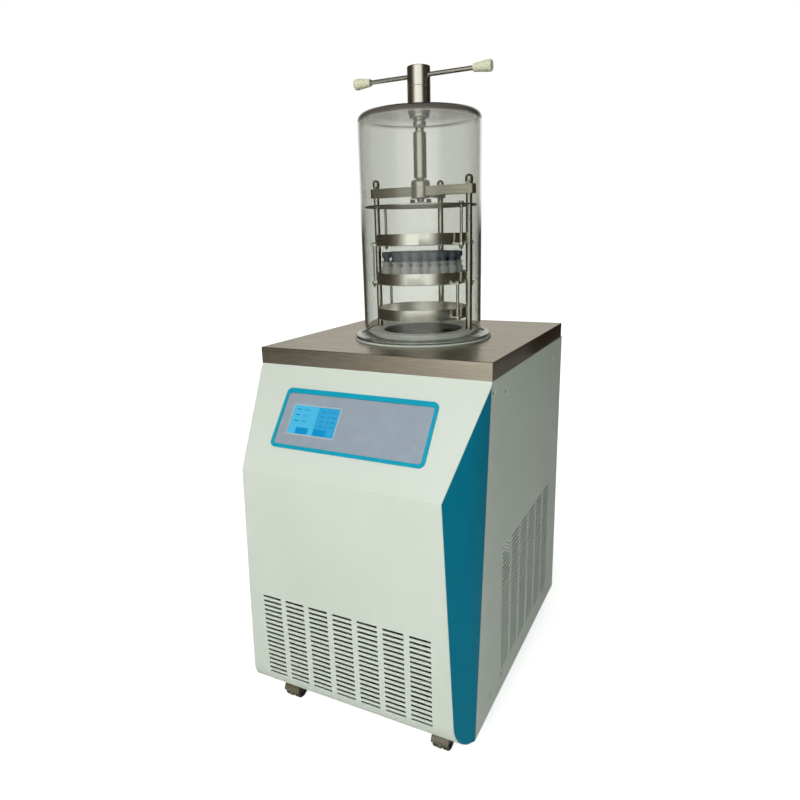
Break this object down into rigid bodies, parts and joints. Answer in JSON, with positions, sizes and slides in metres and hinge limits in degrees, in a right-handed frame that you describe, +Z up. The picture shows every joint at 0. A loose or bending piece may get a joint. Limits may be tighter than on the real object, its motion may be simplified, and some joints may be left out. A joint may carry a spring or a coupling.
{
  "type": "freeze dryer",
  "caption": "Floor-standing laboratory freeze dryer: vented cabinet on casters with a slanted control panel, and a clear chamber over stacked trays that a T-handle presses shut.",
  "frame": {"origin": "on the floor, under the middle of the footprint", "axes": "+X to the machine's right as seen from the front, +Y to the back, +Z up"},
  "size_m": [0.52, 0.7374, 1.3635],
  "materials": {
    "acorn_nuts": "polished stainless steel",
    "base_pan": "powder-coated sheet steel",
    "cabinet_frame": "powder-coated square tube",
    "chamber_cover": "clear acrylic",
    "chamber_seal": "grey silicone",
    "cold_trap_pot": "satin stainless steel",
    "compressor": "black enamel",
    "condenser": "fins on copper tube",
    "control_bezel": "teal moulding",
    "control_board": "circuit board",
    "control_fascia": "printed polyester overlay",
    "crossbar": "satin stainless steel",
    "drain_lever": "red enamel",
    "drain_pipe": "satin stainless steel",
    "drain_valve": "nickel-plated brass",
    "evaporator_coil": "copper",
    "fan_blades": "black nylon",
    "fan_housing": "black shroud and motor",
    "filter_drier": "copper",
    "front_cover": "powder-coated sheet steel",
    "front_left_caster_fork": "black nylon",
    "front_left_caster_wheels": "black nylon and steel axle",
    "front_right_caster_fork": "black nylon",
    "front_right_caster_wheels": "black nylon and steel axle",
    "hub_nut": "satin stainless steel",
    "left_accent_panel": "teal powder coat",
    "left_side_panel": "powder-coated sheet steel",
    "lower_rods": "satin stainless steel",
    "lower_tray": "satin stainless steel",
    "middle_rods": "satin stainless steel",
    "middle_tray": "satin stainless steel",
    "panel_screws": "plated steel",
    "plate_screws": "black oxide",
    "power_inlet": "black thermoplastic",
    "press_plate": "satin stainless steel",
    "press_screw": "satin stainless steel",
    "rack_base": "satin stainless steel",
    "rack_posts": "polished stainless steel",
    "rear_left_caster_fork": "black nylon",
    "rear_left_caster_wheels": "black nylon and steel axle",
    "rear_panel": "powder-coated sheet steel",
    "rear_right_caster_fork": "black nylon",
    "rear_right_caster_wheels": "black nylon and steel axle",
    "refrigerant_pipes": "copper",
    "right_accent_panel": "teal powder coat",
    "right_side_panel": "powder-coated sheet steel",
    "rocker_switch": "black thermoplastic",
    "screw_retainer": "satin stainless steel",
    "seal_hub": "satin stainless steel",
    "spindle": "satin stainless steel",
    "stoppers": "slate-grey rubber",
    "tee_bar": "polished stainless steel",
    "tee_knobs": "ivory thermoset",
    "touch_screen": "lit display",
    "trap_insulation": "closed-cell foam",
    "upper_rods": "satin stainless steel",
    "upper_tray": "satin stainless steel",
    "vacuum_port": "satin stainless steel",
    "vials": "clear glass",
    "worktop": "brushed stainless steel"
  },
  "bodies": {
    "cabinet": {"base_pan": "base_pan", "cabinet_frame": "cabinet_frame", "left_side_panel": "left_side_panel", "right_side_panel": "right_side_panel", "rear_panel": "rear_panel", "front_cover": "front_cover", "left_accent_panel": "left_accent_panel", "right_accent_panel": "right_accent_panel", "control_bezel": "control_bezel", "control_fascia": "control_fascia", "touch_screen": "touch_screen", "panel_screws": "panel_screws", "worktop": "worktop", "control_board": "control_board", "power_inlet": "power_inlet", "fan_housing": "fan_housing", "condenser": "condenser", "compressor": "compressor", "filter_drier": "filter_drier", "refrigerant_pipes": "refrigerant_pipes", "cold_trap_pot": "cold_trap_pot", "evaporator_coil": "evaporator_coil", "trap_insulation": "trap_insulation", "chamber_seal": "chamber_seal", "vacuum_port": "vacuum_port", "drain_pipe": "drain_pipe", "drain_valve": "drain_valve", "rack_base": "rack_base", "rack_posts": "rack_posts", "acorn_nuts": "acorn_nuts", "crossbar": "crossbar"},
    "cover": {"chamber_cover": "chamber_cover", "seal_hub": "seal_hub", "hub_nut": "hub_nut"},
    "handle": {"spindle": "spindle", "tee_bar": "tee_bar", "tee_knobs": "tee_knobs"},
    "press": {"press_plate": "press_plate", "screw_retainer": "screw_retainer", "plate_screws": "plate_screws"},
    "screw": {"press_screw": "press_screw"},
    "upper_shelf": {"upper_tray": "upper_tray", "upper_rods": "upper_rods"},
    "middle_shelf": {"middle_tray": "middle_tray", "middle_rods": "middle_rods", "vials": "vials"},
    "stopper_set": {"stoppers": "stoppers"},
    "lower_shelf": {"lower_tray": "lower_tray", "lower_rods": "lower_rods"},
    "valve_lever": {"drain_lever": "drain_lever"},
    "rocker": {"rocker_switch": "rocker_switch"},
    "fan": {"fan_blades": "fan_blades"},
    "front_left_swivel": {"front_left_caster_fork": "front_left_caster_fork"},
    "front_left_wheels": {"front_left_caster_wheels": "front_left_caster_wheels"},
    "front_right_swivel": {"front_right_caster_fork": "front_right_caster_fork"},
    "front_right_wheels": {"front_right_caster_wheels": "front_right_caster_wheels"},
    "rear_left_swivel": {"rear_left_caster_fork": "rear_left_caster_fork"},
    "rear_left_wheels": {"rear_left_caster_wheels": "rear_left_caster_wheels"},
    "rear_right_swivel": {"rear_right_caster_fork": "rear_right_caster_fork"},
    "rear_right_wheels": {"rear_right_caster_wheels": "rear_right_caster_wheels"}
  },
  "joints": [
    {"name": "cover_lift", "type": "slide", "parent": "cabinet", "child": "cover", "axis": [0, 0, 1], "range_m": [0, 0.53]},
    {"name": "handle_turn", "type": "hinge", "parent": "cover", "child": "handle", "pos_m": [0.013, 0.0112, 1.3465], "axis": [0, 0, -1], "range_deg": [0, 6849]},
    {"name": "press_travel", "type": "slide", "parent": "cabinet", "child": "press", "axis": [0, 0, -1], "range_m": [0, 0.1523]},
    {"name": "screw_turn", "type": "hinge", "parent": "press", "child": "screw", "pos_m": [0.013, 0.0112, 1.1045], "axis": [0, 0, -1], "range_deg": [0, 6849.5]},
    {"name": "upper_tray_travel", "type": "slide", "parent": "cabinet", "child": "upper_shelf", "axis": [0, 0, -1], "range_m": [0, 0.0968]},
    {"name": "middle_tray_travel", "type": "slide", "parent": "cabinet", "child": "middle_shelf", "axis": [0, 0, -1], "range_m": [0, 0.0761]},
    {"name": "lower_tray_travel", "type": "slide", "parent": "cabinet", "child": "lower_shelf", "axis": [0, 0, -1], "range_m": [0, 0.0251]},
    {"name": "stopper_travel", "type": "slide", "parent": "middle_shelf", "child": "stopper_set", "axis": [0, 0, -1], "range_m": [0, 0.0076]},
    {"name": "drain_lever_turn", "type": "hinge", "parent": "cabinet", "child": "valve_lever", "pos_m": [0.013, 0.3377, 0.4995], "axis": [0, 0, 1], "range_deg": [0, 90]},
    {"name": "power_rocker", "type": "hinge", "parent": "cabinet", "child": "rocker", "pos_m": [-0.18, 0.3227, 0.136], "axis": [-1, 0, 0], "range_deg": [0, 16]},
    {"name": "fan_spin", "type": "hinge", "parent": "cabinet", "child": "fan", "pos_m": [0, -0.2563, 0.2], "axis": [0, 1, 0], "continuous": true},
    {"name": "front_left_caster_swivel", "type": "hinge", "parent": "cabinet", "child": "front_left_swivel", "pos_m": [-0.184, -0.2773, 0.05], "axis": [0, 0, 1], "continuous": true},
    {"name": "front_left_wheel_roll", "type": "hinge", "parent": "front_left_swivel", "child": "front_left_wheels", "pos_m": [-0.184, -0.2893, 0.02], "axis": [1, 0, 0], "continuous": true},
    {"name": "front_right_caster_swivel", "type": "hinge", "parent": "cabinet", "child": "front_right_swivel", "pos_m": [0.184, -0.2773, 0.05], "axis": [0, 0, 1], "continuous": true},
    {"name": "front_right_wheel_roll", "type": "hinge", "parent": "front_right_swivel", "child": "front_right_wheels", "pos_m": [0.184, -0.2893, 0.02], "axis": [1, 0, 0], "continuous": true},
    {"name": "rear_left_caster_swivel", "type": "hinge", "parent": "cabinet", "child": "rear_left_swivel", "pos_m": [-0.184, 0.2737, 0.05], "axis": [0, 0, 1], "continuous": true},
    {"name": "rear_left_wheel_roll", "type": "hinge", "parent": "rear_left_swivel", "child": "rear_left_wheels", "pos_m": [-0.184, 0.2617, 0.02], "axis": [1, 0, 0], "continuous": true},
    {"name": "rear_right_caster_swivel", "type": "hinge", "parent": "cabinet", "child": "rear_right_swivel", "pos_m": [0.184, 0.2737, 0.05], "axis": [0, 0, 1], "continuous": true},
    {"name": "rear_right_wheel_roll", "type": "hinge", "parent": "rear_right_swivel", "child": "rear_right_wheels", "pos_m": [0.184, 0.2617, 0.02], "axis": [1, 0, 0], "continuous": true}
  ],
  "couplings": [
    {"joint": "press_travel", "follows": "handle_turn", "m_per_rad": 0.0012732},
    {"joint": "screw_turn", "follows": "handle_turn", "ratio": 1},
    {"joint": "upper_tray_travel", "follows": "handle_turn", "m_per_rad": 0.00080895},
    {"joint": "middle_tray_travel", "follows": "handle_turn", "m_per_rad": 0.00063578},
    {"joint": "lower_tray_travel", "follows": "handle_turn", "m_per_rad": 0.00020914},
    {"joint": "stopper_travel", "follows": "handle_turn", "m_per_rad": 0.000062742}
  ]
}
